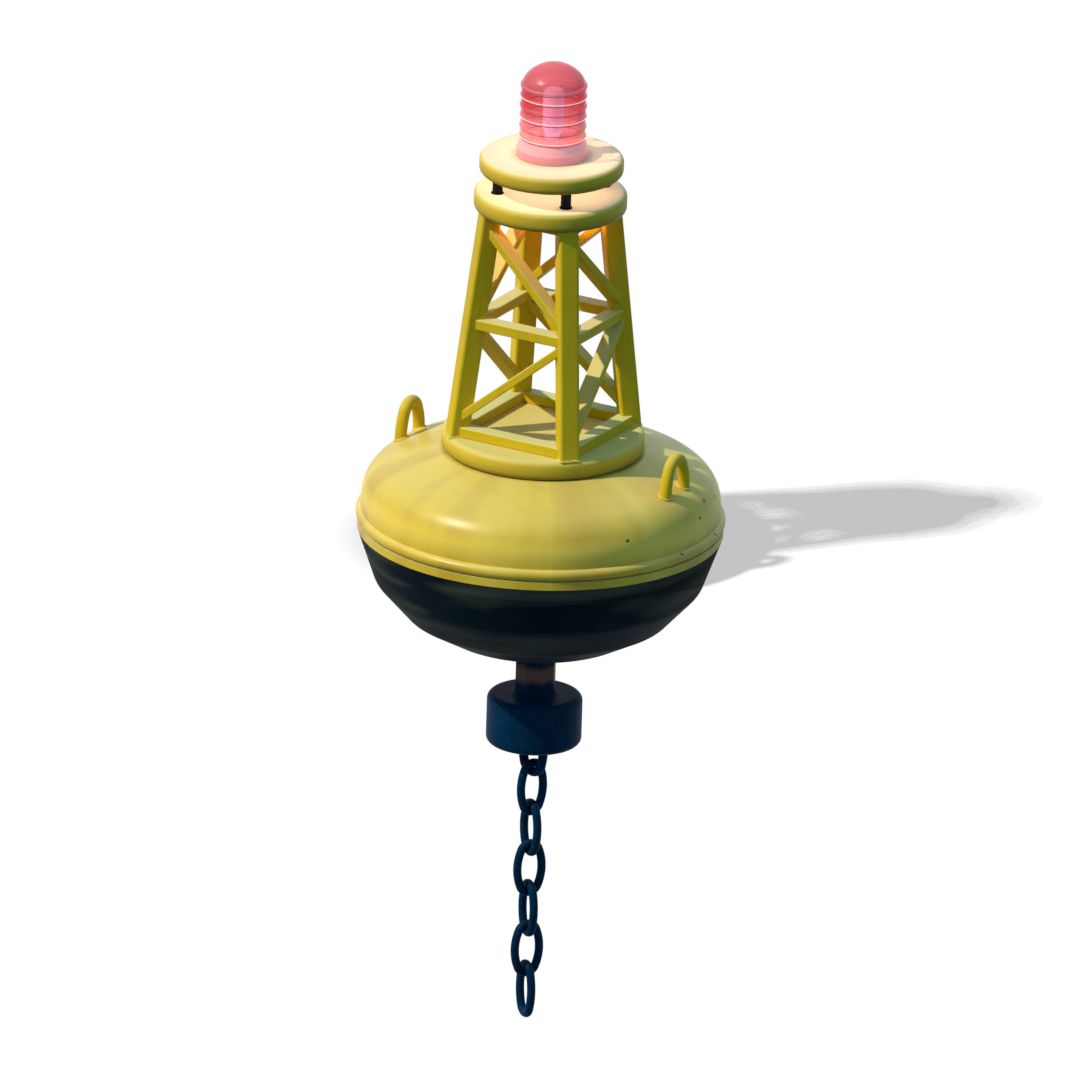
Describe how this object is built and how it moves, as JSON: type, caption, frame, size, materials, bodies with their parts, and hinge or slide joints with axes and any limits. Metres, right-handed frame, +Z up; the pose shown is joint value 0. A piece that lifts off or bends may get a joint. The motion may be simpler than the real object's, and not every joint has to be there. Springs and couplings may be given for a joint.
{
  "type": "mooring buoy",
  "caption": "Round steel mooring buoy with a lattice light tower, lifting eyes, a ballast weight on a stem and a pendant of mooring chain.",
  "frame": {"origin": "on the hull's axis at the waterline, where the still water meets the afloat hull", "axes": "+Z up along the hull's axis, +X towards the right lifting eye, -Y towards the front face of the tower"},
  "size_m": [1.6378, 1.6378, 4.4903],
  "materials": {
    "hull_paint": "satin",
    "bottom_paint": "satin",
    "black_paint": "satin",
    "chain_steel": "matt",
    "lens_red": "clear",
    "foot_pink": "gloss",
    "tube_white": "gloss"
  },
  "bodies": {
    "buoy": {"hull_upper": "hull_paint", "hull_lower": "bottom_paint", "rubbing_belt": "hull_paint", "rubbing_bead": "hull_paint", "lifting_eye_left": "hull_paint", "lifting_eye_right": "hull_paint", "tower_base": "hull_paint", "tower_leg_1": "hull_paint", "tower_leg_2": "hull_paint", "tower_leg_3": "hull_paint", "tower_leg_4": "hull_paint", "bottom_rail_1": "hull_paint", "bottom_rail_2": "hull_paint", "bottom_rail_3": "hull_paint", "bottom_rail_4": "hull_paint", "middle_rail_1": "hull_paint", "middle_rail_2": "hull_paint", "middle_rail_3": "hull_paint", "middle_rail_4": "hull_paint", "top_rail_1": "hull_paint", "top_rail_2": "hull_paint", "top_rail_3": "hull_paint", "top_rail_4": "hull_paint", "lower_brace_1": "hull_paint", "lower_brace_2": "hull_paint", "lower_brace_3": "hull_paint", "lower_brace_4": "hull_paint", "upper_brace_1": "hull_paint", "upper_brace_2": "hull_paint", "upper_brace_3": "hull_paint", "upper_brace_4": "hull_paint", "tower_top": "hull_paint", "lamp_post_1": "black_paint", "lamp_post_2": "black_paint", "lamp_post_3": "black_paint", "lamp_post_4": "black_paint", "lamp_platform": "hull_paint", "lantern_foot": "foot_pink", "lantern_lens": "lens_red", "lamp_tube": "tube_white", "ballast_stem": "bottom_paint", "ballast_weight": "bottom_paint", "ballast_eye": "bottom_paint"},
    "link_1": {"chain_link_1": "chain_steel"},
    "link_2": {"chain_link_2": "chain_steel"},
    "link_3": {"chain_link_3": "chain_steel"},
    "link_4": {"chain_link_4": "chain_steel"},
    "link_5": {"chain_link_5": "chain_steel"},
    "link_6": {"chain_link_6": "chain_steel"}
  },
  "joints": [
    {"name": "link_1_swing", "type": "hinge", "parent": "buoy", "child": "link_1", "pos_m": [0, 0, -1.085], "axis": [0.9613, -0.2756, 0], "range_deg": [-45, 45]},
    {"name": "link_2_swing", "type": "hinge", "parent": "link_1", "child": "link_2", "pos_m": [0, 0, -1.2725], "axis": [0.4384, 0.8988, 0], "range_deg": [-45, 45]},
    {"name": "link_3_swing", "type": "hinge", "parent": "link_2", "child": "link_3", "pos_m": [0, 0, -1.4622], "axis": [0.8572, -0.515, 0], "range_deg": [-45, 45]},
    {"name": "link_4_swing", "type": "hinge", "parent": "link_3", "child": "link_4", "pos_m": [0, 0, -1.6519], "axis": [0.5878, 0.809, 0], "range_deg": [-45, 45]},
    {"name": "link_5_swing", "type": "hinge", "parent": "link_4", "child": "link_5", "pos_m": [0, 0, -1.8416], "axis": [0.809, -0.5878, 0], "range_deg": [-45, 45]},
    {"name": "link_6_swing", "type": "hinge", "parent": "link_5", "child": "link_6", "pos_m": [0, 0, -2.0313], "axis": [0.5878, 0.809, 0], "range_deg": [-45, 45]}
  ]
}
